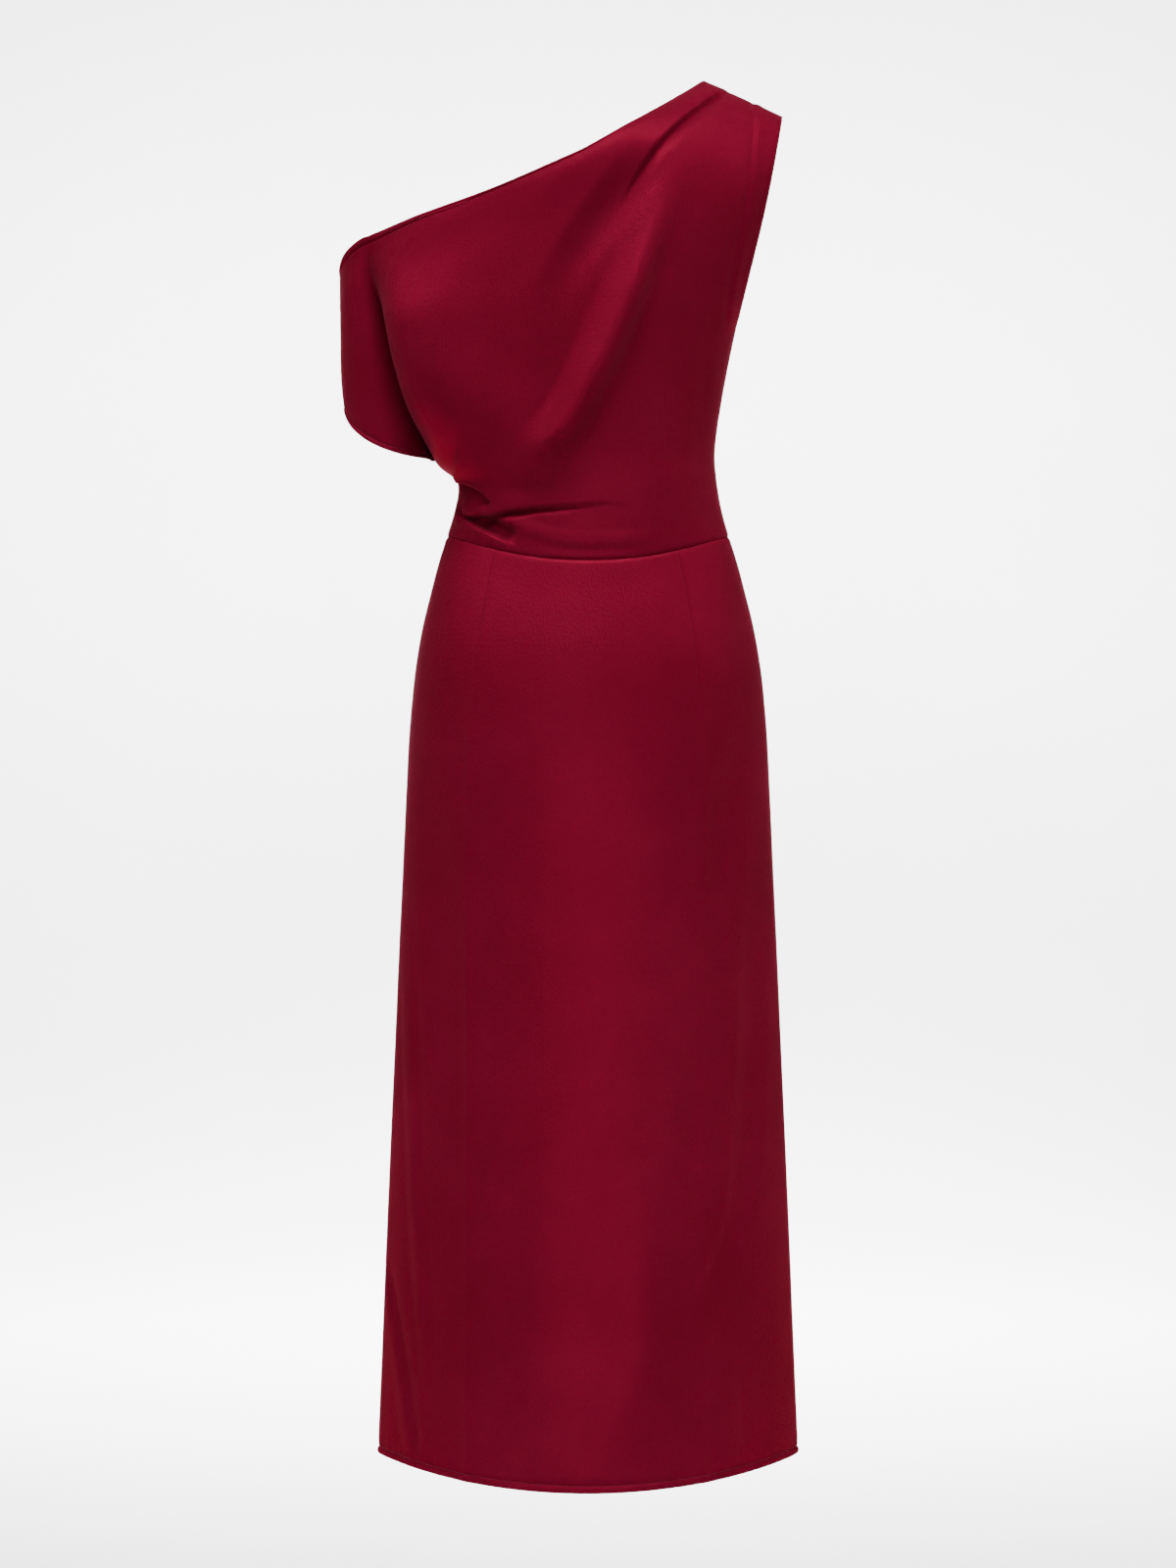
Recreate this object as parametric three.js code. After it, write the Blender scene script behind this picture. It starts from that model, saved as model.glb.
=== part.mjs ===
// A one-shoulder satin midi dress, filled out as it is worn, with nobody in it.
// Millimetres, +Z up. The back of the dress faces -Y and the bare shoulder is at -X.
// The shape is worked out about the middle of the waist, and the finished dress is then
// moved so that the middle of its shoulder seam, where the wearer holds it, is the origin.

import * as THREE from "three";

// Cloth and seams
const WALL = 1.2;
const SEAM_GAP = 0.3;
const HALF_GAP = SEAM_GAP / 2;
const HEM_THICKNESS = 1.0;
const NECK_HEM_WIDTH = 6.5;
const ARMHOLE_FACING_WIDTH = 21;
const SLEEVE_HEM_WIDTH = 5.5;
const SKIRT_HEM_WIDTH = 6;
const MITRE_LIMIT = 2.2;

// Waist seam: half its width, how far it dips at the centre, and its depths
const WAIST_HALF_WIDTH = 124.5;
const WAIST_DIP = 25.5;
const HEM_DIP = 8.5;

// Skirt sections from the waist seam down to the hem. The edge column is 0.5 for an
// elliptical section and 1 for one that is creased sharp along the side seams.
const SKIRT_SECTIONS = [
  { z: 0, halfWidth: WAIST_HALF_WIDTH, back: 84, front: 80, edge: 0.5 },
  { z: -24, halfWidth: 132, back: 91, front: 86, edge: 0.5 },
  { z: -47, halfWidth: 138, back: 98, front: 90, edge: 0.5 },
  { z: -80, halfWidth: 146, back: 107, front: 94, edge: 0.51 },
  { z: -115, halfWidth: 152, back: 114, front: 97, edge: 0.52 },
  { z: -150, halfWidth: 155.8, back: 118, front: 100, edge: 0.53 },
  { z: -185, halfWidth: 158.4, back: 120, front: 102, edge: 0.55 },
  { z: -230, halfWidth: 160.6, back: 119, front: 104, edge: 0.58 },
  { z: -290, halfWidth: 163.4, back: 117, front: 107, edge: 0.62 },
  { z: -360, halfWidth: 166.8, back: 116, front: 110, edge: 0.66 },
  { z: -440, halfWidth: 170.2, back: 117, front: 113, edge: 0.7 },
  { z: -530, halfWidth: 174.2, back: 121, front: 117, edge: 0.74 },
  { z: -630, halfWidth: 178.4, back: 126, front: 122, edge: 0.78 },
  { z: -730, halfWidth: 182.4, back: 132, front: 128, edge: 0.82 },
  { z: -812, halfWidth: 185.8, back: 137, front: 133, edge: 0.85 },
];

// Bodice sections from the waist seam up to the shoulder. left and right are the two ends
// of the body's part of the section; valley is the depth at its left end and start the
// angle there, below zero where the cloth folds back over the sleeve.
const UNDERARM = 3;
const ARMHOLE_FOOT = 5;
const BLADES = 6;
const TOP = 7;
const BODICE_SECTIONS = [
  { left: -124.5, leftZ: 0, right: 124.5, rightZ: 0, dip: WAIST_DIP, back: 84, front: 80, valley: 0, start: 0 },
  { left: -117.5, leftZ: 22.5, right: 118, rightZ: 23, dip: 20, back: 87, front: 83, valley: 0, start: 0 },
  { left: -115, leftZ: 48.5, right: 113.5, rightZ: 50, dip: 11, back: 92, front: 88, valley: 0, start: 0 },
  { left: -134.5, leftZ: 67.5, right: 112, rightZ: 77, dip: 4, back: 96, front: 97, valley: 0, start: -5 },
  { left: -148.5, leftZ: 109, right: 118.3, rightZ: 122, dip: 0, back: 101, front: 109, valley: 14, start: -20 },
  { left: -171, leftZ: 180, right: 130.8, rightZ: 184.5, dip: 0, back: 105, front: 114, valley: 29, start: -14 },
  { left: -188, leftZ: 223.5, right: 155.6, rightZ: 286, dip: 0, back: 104, front: 108, valley: 42, start: 6 },
];
const ARMHOLE_HALF_WIDTH = 45;

// The sleeve is cut in one with the bodice. Its sections start at the underarm: the seam
// over the outside of the arm, the depth round the arm, and how far round it the cloth goes.
const SLEEVE_SECTIONS = [
  { outer: -215, outerZ: 112.5, depth: 43, turn: 180, slope: 3.4, ease: 1.35 },
  { outer: -218, outerZ: 139, depth: 44, turn: 166, slope: 1.8, ease: 1.1 },
  { outer: -218.6, outerZ: 177, depth: 45, turn: 142, slope: 1.2, ease: 1 },
  { outer: -219, outerZ: 208, depth: 46, turn: 112, slope: 1.1, ease: 1 },
  { outer: -219.2, outerZ: 234.5, depth: 48, turn: 90, slope: 1.1, ease: 1 },
];

// Neckline from the sleeve to the shoulder, then the shoulder seam
const NECKLINE = [
  { x: -192.6, z: 259, back: 48, front: 42 },
  { x: -144.6, z: 273.8, back: 66, front: 62 },
  { x: -84.6, z: 292.8, back: 82, front: 78 },
  { x: -33.8, z: 313.8, back: 86, front: 80 },
  { x: 0, z: 329.6, back: 84, front: 76 },
  { x: 33.9, z: 350.6, back: 74, front: 66 },
  { x: 68.4, z: 375.4, back: 50, front: 44 },
  { x: 101.8, z: 404.4, back: 0, front: 0 },
];
const FRONT_NECK_DROP = 9;
const FRONT_SLEEVE_LIFT = 11;
const SHOULDER_TIP = { x: 171.6, z: 373.2 };
const CORNER = 0.8;

// Folds, each along a path over its panel as seen from behind. Height is outward.
const BACK_BODICE_FOLDS = [
  { path: [[128, 400], [96, 366], [62, 334], [30, 308]], halfWidth: 13, height: 3.5 },
  { path: [[80, 322], [44, 235], [18, 165], [-20, 105], [-68, 62]], halfWidth: 27, height: 8 },
  { path: [[100, 268], [62, 205], [34, 140], [-8, 88]], halfWidth: 22, height: -4.5 },
  { path: [[104, 372], [62, 345], [22, 312], [-28, 284], [-72, 268]], halfWidth: 21, height: 5.5 },
  { path: [[58, 330], [18, 296], [-28, 266], [-84, 240]], halfWidth: 17, height: -4.5 },
  { path: [[44, 290], [8, 230], [-32, 172], [-70, 120]], halfWidth: 19, height: 3.5 },
  { path: [[-100, 230], [-110, 150], [-120, 96]], halfWidth: 24, height: -4 },
  { path: [[-104, 24], [-70, 22], [-35, 20], [0, 20], [36, 26]], halfWidth: 9, height: -8 },
  { path: [[-108, 44], [-60, 40], [-10, 38], [40, 42]], halfWidth: 13, height: 3.5 },
  { path: [[-104, 8], [-84, -2], [-60, -8]], halfWidth: 8, height: -6.5 },
  { path: [[-88, 26], [-60, 8], [-20, 0], [30, 0], [64, 4]], halfWidth: 10, height: 3.5 },
];
const FRONT_BODICE_FOLDS = [
  { path: [[128, 394], [98, 356], [66, 322], [34, 296]], halfWidth: 13, height: 3.5 },
  { path: [[84, 318], [50, 236], [14, 160], [-30, 100], [-74, 58]], halfWidth: 28, height: 6 },
  { path: [[104, 262], [70, 196], [34, 134], [-4, 84]], halfWidth: 22, height: -4 },
  { path: [[102, 362], [58, 332], [14, 298], [-40, 270], [-80, 254]], halfWidth: 21, height: 5 },
  { path: [[50, 312], [10, 280], [-36, 252], [-88, 228]], halfWidth: 17, height: -4 },
  { path: [[-98, 22], [-56, 18], [-14, 20], [22, 28]], halfWidth: 9, height: -6.5 },
  { path: [[-104, 42], [-54, 38], [-8, 40]], halfWidth: 12, height: 3 },
];
const BACK_SKIRT_FOLDS = [
  { path: [[152, -298], [146, -450], [130, -612], [104, -694], [76, -760]], halfWidth: 20, height: -4 },
  { path: [[104, -420], [92, -530], [60, -660], [22, -720]], halfWidth: 26, height: -2.5 },
  { path: [[-158, -330], [-154, -470], [-150, -610], [-144, -720]], halfWidth: 10, height: 2.5 },
  { path: [[-176, -648], [-166, -720], [-156, -806]], halfWidth: 9, height: 3 },
  { path: [[-140, -200], [-128, -330], [-118, -470]], halfWidth: 26, height: -3 },
  { path: [[138, -168], [118, -250], [112, -330]], halfWidth: 24, height: -2.5 },
];
const FRONT_SKIRT_FOLDS = [
  { path: [[-148, -310], [-140, -470], [-118, -640], [-84, -742]], halfWidth: 21, height: -4 },
  { path: [[-60, -430], [-72, -560], [-92, -690]], halfWidth: 26, height: -2.5 },
  { path: [[152, -350], [148, -520], [142, -700]], halfWidth: 12, height: 2.5 },
  { path: [[60, -300], [72, -470], [64, -640]], halfWidth: 30, height: 3 },
  { path: [[132, -190], [116, -300], [110, -400]], halfWidth: 24, height: -2.5 },
];
const SEAM_CALM = 9;

// Grid of each panel
const TORSO_CELLS = 24;
const SLEEVE_CELLS = 6;
const BODICE_ROWS = [
  0, 0.3, 0.65, 1, 1.33, 1.67, 2, 2.35, 2.7, 3, 3.35, 3.7, 4, 4.35, 4.7, 5,
  5.12, 5.35, 5.65, 6, 6.3, 6.55, 6.75, 6.9, 7,
];
const SKIRT_ROWS = [14, 13.7, 13.2, 12.6, 12, 11, 10, 9, 8, 7, 6, 5, 4, 3, 2, 1, 0.5, 0];

const SATIN = { color: 0x8a1230, roughness: 0.42, metalness: 0 };

const clamp01 = (value) => Math.min(Math.max(value, 0), 1);
const lerp = (a, b, f) => a + (b - a) * f;
const radians = THREE.MathUtils.degToRad;

const range = (count, make) => Array.from({ length: count }, (_, i) => make(i));

function smoothStep(low, high, value) {
  const f = clamp01((value - low) / (high - low));
  return f * f * (3 - 2 * f);
}

// A column of a table at a fractional row, on a smooth curve through its rows.
function columnAt(table, column, row) {
  const last = table.length - 1;
  const at = (i) => table[Math.min(Math.max(i, 0), last)][column];
  const i = Math.min(Math.max(Math.floor(row), 0), last - 1);
  const f = row - i;
  const slopeIn = (at(i + 1) - at(i - 1)) / 2;
  const slopeOut = (at(i + 2) - at(i)) / 2;
  const rise = at(i + 1) - at(i);
  const cubic = slopeIn + slopeOut - 2 * rise;
  const square = 3 * rise - 2 * slopeIn - slopeOut;
  return at(i) + f * (slopeIn + f * (square + f * cubic));
}

// Height of one fold at a point of its panel: full on the path, none a half width away,
// and dying out towards both ends of the path.
function oneFold(fold, x, z) {
  let nearest = Infinity;
  let along = 0;
  const pieces = fold.path.length - 1;
  for (let i = 0; i < pieces; i++) {
    const [ax, az] = fold.path[i];
    const [bx, bz] = fold.path[i + 1];
    const [dx, dz] = [bx - ax, bz - az];
    const f = clamp01(((x - ax) * dx + (z - az) * dz) / (dx * dx + dz * dz));
    const distance = Math.hypot(x - ax - f * dx, z - az - f * dz);
    if (distance < nearest) {
      nearest = distance;
      along = (i + f) / pieces;
    }
  }
  const across = Math.min(nearest / fold.halfWidth, 1);
  const profile = (1 - across * across) ** 2;
  return fold.height * profile * Math.sqrt(Math.sin(Math.PI * along) + 1e-9);
}

const foldHeight = (folds, x, z) =>
  folds.reduce((sum, fold) => sum + oneFold(fold, x, z), 0);

// A point at depth outward from the middle of the dress, on its back or its front.
function placed(side, x, depth, z) {
  const y = Math.max(depth, HALF_GAP);
  return new THREE.Vector3(x, side.name === "back" ? -y : y, z);
}

// The skirt: across runs from -1 at one side seam to 1 at the other.
function skirtPoint(side, across, row) {
  const halfWidth = columnAt(SKIRT_SECTIONS, "halfWidth", row);
  const edge = columnAt(SKIRT_SECTIONS, "edge", row);
  const even = clamp01((edge - 0.5) * 1.6);
  const share = lerp(Math.sin((across * Math.PI) / 2), across, even);
  const bow = 1 - share * share;
  const fall = clamp01(-columnAt(SKIRT_SECTIONS, "z", row) / 812);
  const x = halfWidth * share;
  const z = columnAt(SKIRT_SECTIONS, "z", row) - lerp(WAIST_DIP, HEM_DIP, fall) * bow - HALF_GAP;
  const calm = smoothStep(0, 0.3, bow) * smoothStep(0, 30, -z);
  const depth = columnAt(SKIRT_SECTIONS, side.name, row) * bow ** edge;
  return placed(side, x, depth + foldHeight(side.skirtFolds, x, z) * calm, z);
}

// The neckline and the shoulder seam, as across runs from the sleeve to the shoulder's tip.
function topPoint(side, across) {
  if (across > CORNER) {
    const f = (across - CORNER) / (1 - CORNER);
    const corner = NECKLINE[NECKLINE.length - 1];
    return { x: lerp(corner.x, SHOULDER_TIP.x, f), z: lerp(corner.z, SHOULDER_TIP.z, f), depth: 0 };
  }
  const row = (across / CORNER) * (NECKLINE.length - 1);
  const drop = side.neckDrop * Math.sin((Math.PI * across) / CORNER);
  return {
    x: columnAt(NECKLINE, "x", row),
    z: columnAt(NECKLINE, "z", row) - drop,
    depth: Math.max(columnAt(NECKLINE, side.name, row), 0),
  };
}

// One section of the body's part of the bodice, below the shoulder blades.
function sectionPoint(side, across, row) {
  const column = (name) => columnAt(BODICE_SECTIONS, name, row);
  const bulge = column(side.name);
  const openness = row > ARMHOLE_FOOT ? Math.sqrt(1 - (BLADES - row) ** 2) : 0;
  const start = row > UNDERARM - 1 ? radians(column("start")) : 0;
  const end = Math.PI - Math.asin((ARMHOLE_HALF_WIDTH * openness) / bulge);
  const angle = lerp(start, end, across);
  const [left, right] = [column("left"), column("right")];
  const halfWidth = (right - left) / (Math.cos(start) - Math.cos(end));
  const x = left + halfWidth * (Math.cos(start) - Math.cos(angle));
  const valley = row > UNDERARM ? Math.max(column("valley"), 0) : 0;
  const lift = valley - bulge * Math.sin(start);
  const fade = 1 - smoothStep(0, Math.PI / 2, angle);
  const share = clamp01((x - left) / (right - left));
  return {
    x,
    z: lerp(column("leftZ"), column("rightZ"), share) - column("dip") * 4 * share * (1 - share),
    depth: lift * fade + bulge * Math.sin(angle),
  };
}

// The body's part of the bodice: from the side seam or the sleeve to the other side seam
// or the armhole. Above the shoulder blades it rounds over to the neckline and the shoulder.
function torsoPoint(side, across, row) {
  const base = sectionPoint(side, across, Math.min(row, BLADES));
  if (row > BLADES) {
    const top = topPoint(side, across);
    const f = row - BLADES;
    const roundness = lerp(1.1, 2, smoothStep(0, CORNER, across));
    const left = (1 - f ** roundness) ** (1 / roundness);
    base.x = lerp(base.x, top.x, f);
    base.z = lerp(base.z, top.z, f);
    base.depth = lerp(top.depth, base.depth, left);
  }
  const seamCalm = smoothStep(0, 1, row * 22 / SEAM_CALM);
  const shoulderCalm = smoothStep(0, 0.25, TOP - row);
  const calm = Math.min(seamCalm, shoulderCalm) * smoothStep(0, 45, base.depth);
  const fold = foldHeight(side.bodiceFolds, base.x, base.z) * calm;
  return placed(side, base.x, base.depth + fold, base.z + (row === 0 ? HALF_GAP : 0));
}

// The sleeve's part of the bodice: around runs from the seam over the arm to the body.
function sleevePoint(side, around, row) {
  const column = (name) => columnAt(SLEEVE_SECTIONS, name, row - UNDERARM);
  const body = torsoPoint(side, 0, row);
  const turn = radians(column("turn"));
  const angle = around * turn;
  const share = (1 - Math.cos(angle)) / (1 - Math.cos(turn));
  const missing = Math.abs(body.y) - column("depth") * Math.sin(turn);
  const drop = 1 - (1 - around ** column("ease")) ** column("slope");
  const lift = side.sleeveLift * Math.sin(angle) * clamp01(UNDERARM + 1 - row);
  return placed(
    side,
    lerp(column("outer"), body.x, share),
    column("depth") * Math.sin(angle) + missing * around * around,
    lerp(column("outerZ"), body.z, drop) + lift,
  );
}

// A grid of outer points with the normal at each, taken from the faces that meet there.
// A missing point leaves its cells out. Seams say which way the rim may not lean.
function panelGrid(side, points, seams) {
  const rows = points.length;
  const columns = points[0].length;
  const at = (i, j) => (i < 0 || j < 0 || i >= rows || j >= columns ? null : points[i][j]);
  const cells = [];
  for (let i = 0; i + 1 < rows; i++) {
    cells.push([]);
    for (let j = 0; j + 1 < columns; j++) {
      cells[i].push([at(i, j), at(i, j + 1), at(i + 1, j), at(i + 1, j + 1)].every(Boolean));
    }
  }
  const cellNormal = (i, j) => {
    if (!cells[i] || !cells[i][j]) return null;
    const one = points[i + 1][j + 1].clone().sub(points[i][j]);
    const two = points[i + 1][j].clone().sub(points[i][j + 1]);
    const normal = one.cross(two).normalize();
    return normal.multiplyScalar(side.turn);
  };
  const normals = points.map((line, i) =>
    line.map((point, j) => {
      if (!point) return null;
      const faces = [cellNormal(i - 1, j - 1), cellNormal(i - 1, j), cellNormal(i, j - 1), cellNormal(i, j)];
      const met = faces.filter(Boolean);
      const mean = met.reduce((sum, n) => sum.add(n), new THREE.Vector3()).normalize();
      const least = Math.min(...met.map((n) => n.dot(mean)));
      return { mean, mitre: Math.min(1 / Math.max(least, 0.2), MITRE_LIMIT) };
    }),
  );
  const inner = points.map((line, i) =>
    line.map((point, j) => {
      if (!point) return null;
      const { mean, mitre } = normals[i][j];
      const lean = mean.clone();
      const seam = seams(i, j);
      if (seam.includes("side")) lean.y = 0;
      if (seam.includes("waist")) lean.z = 0;
      const reach = seam ? Math.min(1 / Math.max(lean.lengthSq(), 0.2), MITRE_LIMIT) : mitre;
      return point.clone().addScaledVector(lean, -WALL * reach);
    }),
  );
  return { side, points, inner, cells, normals };
}

// A closed solid between an outer and an inner grid of points. Both are cut across the
// same corners of every cell, from the first to the third or, if crossed, the other two.
function solidBetween(outer, inner, cells, turn, crossed) {
  const positions = [];
  const quad = (a, b, c, d) => {
    const corners = turn > 0 ? [a, b, c, a, c, d] : [a, c, b, a, d, c];
    corners.forEach((p) => positions.push(p.x, p.y, p.z));
  };
  const skin = ([a, b, c, d], isOuter) => {
    if (isOuter && crossed) quad(b, c, d, a);
    if (isOuter && !crossed) quad(a, b, c, d);
    if (!isOuter && crossed) quad(b, a, d, c);
    if (!isOuter && !crossed) quad(a, d, c, b);
  };
  const filled = (i, j) => Boolean(cells[i] && cells[i][j]);
  cells.forEach((line, i) =>
    line.forEach((cell, j) => {
      if (!cell) return;
      const [a, b, c, d] = [[i, j], [i, j + 1], [i + 1, j + 1], [i + 1, j]];
      const out = [a, b, c, d].map(([m, n]) => outer[m][n]);
      const inn = [a, b, c, d].map(([m, n]) => inner[m][n]);
      skin(out, true);
      skin(inn, false);
      if (!filled(i - 1, j)) quad(out[1], out[0], inn[0], inn[1]);
      if (!filled(i, j + 1)) quad(out[2], out[1], inn[1], inn[2]);
      if (!filled(i + 1, j)) quad(out[3], out[2], inn[2], inn[3]);
      if (!filled(i, j - 1)) quad(out[0], out[3], inn[3], inn[0]);
    }),
  );
  const geometry = new THREE.BufferGeometry();
  geometry.setAttribute("position", new THREE.Float32BufferAttribute(positions, 3));
  geometry.computeVertexNormals();
  return geometry;
}

// The place at a distance along a line of points.
function placeAlong(line, distance) {
  let left = distance;
  let k = 0;
  while (k + 2 < line.length && left > line[k].distanceTo(line[k + 1])) {
    left -= line[k].distanceTo(line[k + 1]);
    k += 1;
  }
  return line[k].clone().lerp(line[k + 1], Math.min(left / line[k].distanceTo(line[k + 1]), 1));
}

// Moves the first points in from a panel's edge, along the panel, to set distances from it,
// so that a band along the edge can be made from the panel's own points. The next point
// after them goes halfway to the one that follows it.
function setBack(points, lines, distances) {
  lines.forEach((places) => {
    const line = places.map(([i, j]) => points[i][j]);
    const following = distances.length + 2;
    const reach = range(following, (k) => line[k].distanceTo(line[k + 1])).reduce((a, b) => a + b, 0);
    const halfway = (distances[distances.length - 1] + reach) / 2;
    [...distances, halfway].forEach((distance, k) => {
      const [i, j] = places[k + 1];
      points[i][j] = placeAlong(line, distance);
    });
  });
}

// A turned hem or facing, made from the panel's inner points along its edge and moved
// inwards off them by the seam gap.
function edgeBand(panel, lines, steps) {
  const inwards = (reach) =>
    lines.map((line) =>
      line.slice(0, steps + 1).map(([i, j]) => {
        const { mean, mitre } = panel.normals[i][j];
        return panel.inner[i][j].clone().addScaledVector(mean, -reach * mitre);
      }),
    );
  return {
    outer: inwards(SEAM_GAP),
    inner: inwards(SEAM_GAP + HEM_THICKNESS),
    cells: range(lines.length - 1, () => range(steps, () => true)),
  };
}

const BODICE_COLUMNS = SLEEVE_CELLS + TORSO_CELLS + 1;
const NECK_CORNER = SLEEVE_CELLS + Math.round(CORNER * TORSO_CELLS);
const LAST_ROW = BODICE_ROWS.length - 1;
const UNDERARM_ROW = BODICE_ROWS.indexOf(UNDERARM);
const FOOT_ROW = BODICE_ROWS.indexOf(ARMHOLE_FOOT);

// Each edge as lines of grid places, [row, column], that run from the edge into the panel
const neckLines = range(NECK_CORNER + 1, (j) => range(6, (k) => [LAST_ROW - k, j]));
const armholeLines = range(LAST_ROW - FOOT_ROW, (n) =>
  range(6, (k) => [FOOT_ROW + 1 + n, BODICE_COLUMNS - 1 - k]),
);
const sleeveLines = range(SLEEVE_CELLS, (j) => range(4, (k) => [UNDERARM_ROW + k, j]));
const hemLines = range(TORSO_CELLS + 1, (j) => range(4, (k) => [k, j]));
const FACING_STEPS = [1 / 3, 2 / 3, 1].map((share) => share * ARMHOLE_FACING_WIDTH);

function bodicePanel(side) {
  const points = BODICE_ROWS.map((row) =>
    range(BODICE_COLUMNS, (j) => {
      if (j >= SLEEVE_CELLS) return torsoPoint(side, (j - SLEEVE_CELLS) / TORSO_CELLS, row);
      return row >= UNDERARM ? sleevePoint(side, j / SLEEVE_CELLS, row) : null;
    }),
  );
  setBack(points, neckLines, [NECK_HEM_WIDTH]);
  setBack(points, armholeLines.slice(0, -1), FACING_STEPS);
  setBack(points, sleeveLines, [SLEEVE_HEM_WIDTH]);
  const seams = (i, j) => {
    const row = BODICE_ROWS[i];
    const leftSeam = row <= UNDERARM ? j === SLEEVE_CELLS : j === 0;
    const rightSeam = j === BODICE_COLUMNS - 1 && row <= ARMHOLE_FOOT;
    const shoulderSeam = row === TOP && j >= NECK_CORNER;
    const overArm = j === 0 && row >= UNDERARM;
    return (leftSeam || rightSeam || shoulderSeam || overArm ? "side" : "") + (row === 0 ? "waist" : "");
  };
  return panelGrid(side, points, seams);
}

function skirtPanel(side) {
  const points = SKIRT_ROWS.map((row) =>
    range(TORSO_CELLS + 1, (j) => skirtPoint(side, (2 * j) / TORSO_CELLS - 1, row)),
  );
  setBack(points, hemLines, [SKIRT_HEM_WIDTH]);
  const seams = (i, j) =>
    (j === 0 || j === TORSO_CELLS ? "side" : "") + (SKIRT_ROWS[i] === 0 ? "waist" : "");
  return panelGrid(side, points, seams);
}

const SIDES = [
  {
    name: "back",
    turn: 1,
    neckDrop: 0,
    sleeveLift: 0,
    bodiceFolds: BACK_BODICE_FOLDS,
    skirtFolds: BACK_SKIRT_FOLDS,
  },
  {
    name: "front",
    turn: -1,
    neckDrop: FRONT_NECK_DROP,
    sleeveLift: FRONT_SLEEVE_LIFT,
    bodiceFolds: FRONT_BODICE_FOLDS,
    skirtFolds: FRONT_SKIRT_FOLDS,
  },
];

const dress = new THREE.Group();

function addNode(name, outer, inner, cells, turn, crossed) {
  const material = new THREE.MeshStandardMaterial({ ...SATIN, side: THREE.FrontSide });
  const mesh = new THREE.Mesh(solidBetween(outer, inner, cells, turn, crossed), material);
  mesh.name = name;
  dress.add(mesh);
}

function addBand(name, panel, lines, steps, { order, crossed }) {
  const band = edgeBand(panel, lines, steps);
  addNode(name, band.outer, band.inner, band.cells, panel.side.turn * order, crossed);
}

function addSide(side) {
  const bodice = bodicePanel(side);
  const skirt = skirtPanel(side);
  addNode(`bodice_${side.name}`, bodice.points, bodice.inner, bodice.cells, side.turn, false);
  addNode(`skirt_${side.name}`, skirt.points, skirt.inner, skirt.cells, side.turn, false);
  addBand(`neck_hem_${side.name}`, bodice, neckLines.slice(1, -1), 1, { order: 1, crossed: true });
  addBand(`armhole_facing_${side.name}`, bodice, armholeLines.slice(0, -1), 3, { order: -1, crossed: true });
  addBand(`sleeve_hem_${side.name}`, bodice, sleeveLines.slice(1), 1, { order: -1, crossed: false });
  addBand(`skirt_hem_${side.name}`, skirt, hemLines.slice(1, -1), 1, { order: -1, crossed: false });
}

SIDES.forEach(addSide);

// The origin is under the middle of the shoulder seam.
const neckPoint = NECKLINE[NECKLINE.length - 1];
dress.position.set(
  -(neckPoint.x + SHOULDER_TIP.x) / 2,
  0,
  -(neckPoint.z + SHOULDER_TIP.z) / 2 + WALL,
);

export default dress;
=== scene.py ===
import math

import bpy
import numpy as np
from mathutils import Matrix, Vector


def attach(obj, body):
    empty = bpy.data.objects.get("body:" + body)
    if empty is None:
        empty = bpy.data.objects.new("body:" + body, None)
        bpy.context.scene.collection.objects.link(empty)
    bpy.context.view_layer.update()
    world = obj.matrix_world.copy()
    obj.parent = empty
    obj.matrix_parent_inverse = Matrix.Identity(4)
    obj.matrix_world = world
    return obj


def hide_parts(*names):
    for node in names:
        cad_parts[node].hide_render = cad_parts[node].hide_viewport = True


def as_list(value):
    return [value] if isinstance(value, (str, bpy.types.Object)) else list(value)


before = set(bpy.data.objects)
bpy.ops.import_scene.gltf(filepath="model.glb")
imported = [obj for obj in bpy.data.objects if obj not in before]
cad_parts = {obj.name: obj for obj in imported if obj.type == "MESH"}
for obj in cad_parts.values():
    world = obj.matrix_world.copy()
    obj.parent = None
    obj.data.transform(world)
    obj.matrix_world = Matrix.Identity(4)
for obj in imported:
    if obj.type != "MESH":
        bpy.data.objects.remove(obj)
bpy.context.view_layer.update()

# A one-shoulder satin midi dress, filled out as it is worn, with nobody in it.
# Sizes in the tables are millimetres about the middle of the waist, x towards the covered
# shoulder and z up, seen from behind. The finished pieces are in metres in the part's frame.

# From the middle of the waist to the part's origin, under the middle of the shoulder seam
ORIGIN = np.array([136.7, 0.0, 387.6])
MM = 0.001

# Cloth and seams. FULLNESS lets the cloth stand out sideways, over its own thickness.
CLOTH = 0.7
HALF_GAP = 0.15
SEAM_DEPTH = 0.9
SEAM_WIDTH = 1.7
SIDE_SEAM_DEPTH = 0.3
FULLNESS = 1.006

# Widths of the hems and of the facing round the armhole
NECK_HEM = 6.5
SLEEVE_HEM = 5.5
SKIRT_HEM = 6.0
ARMHOLE_FACING = 21.0

# Rows of the grids beside each hem's edge, by their distance from it
NECK_STEPS = np.array([0, 0.7, 2.6, 4.6, 5.6, NECK_HEM, 7.4])
SLEEVE_STEPS = np.array([0, 0.7, 2.6, 4.6, SLEEVE_HEM, 6.4])
SKIRT_STEPS = np.array([0, 0.7, 2.6, 4.6, 5.4, SKIRT_HEM, 6.8])

# Turned-in cloth lies under the panel, this far in and this thick
TURNED_GAP = 0.25
TURNED_CLOTH = 0.6

# Columns of the bodice's grid: round the sleeve, along the neckline, along the shoulder
SLEEVE_COLUMN_COUNT = 40
NECK_COLUMN_COUNT = 168
SHOULDER_COLUMN_COUNT = 29

WAIST_HALF_WIDTH = 124.5
WAIST_DIP = 25.5
HEM_DIP = 8.5
SKIRT_LENGTH = 812

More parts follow.
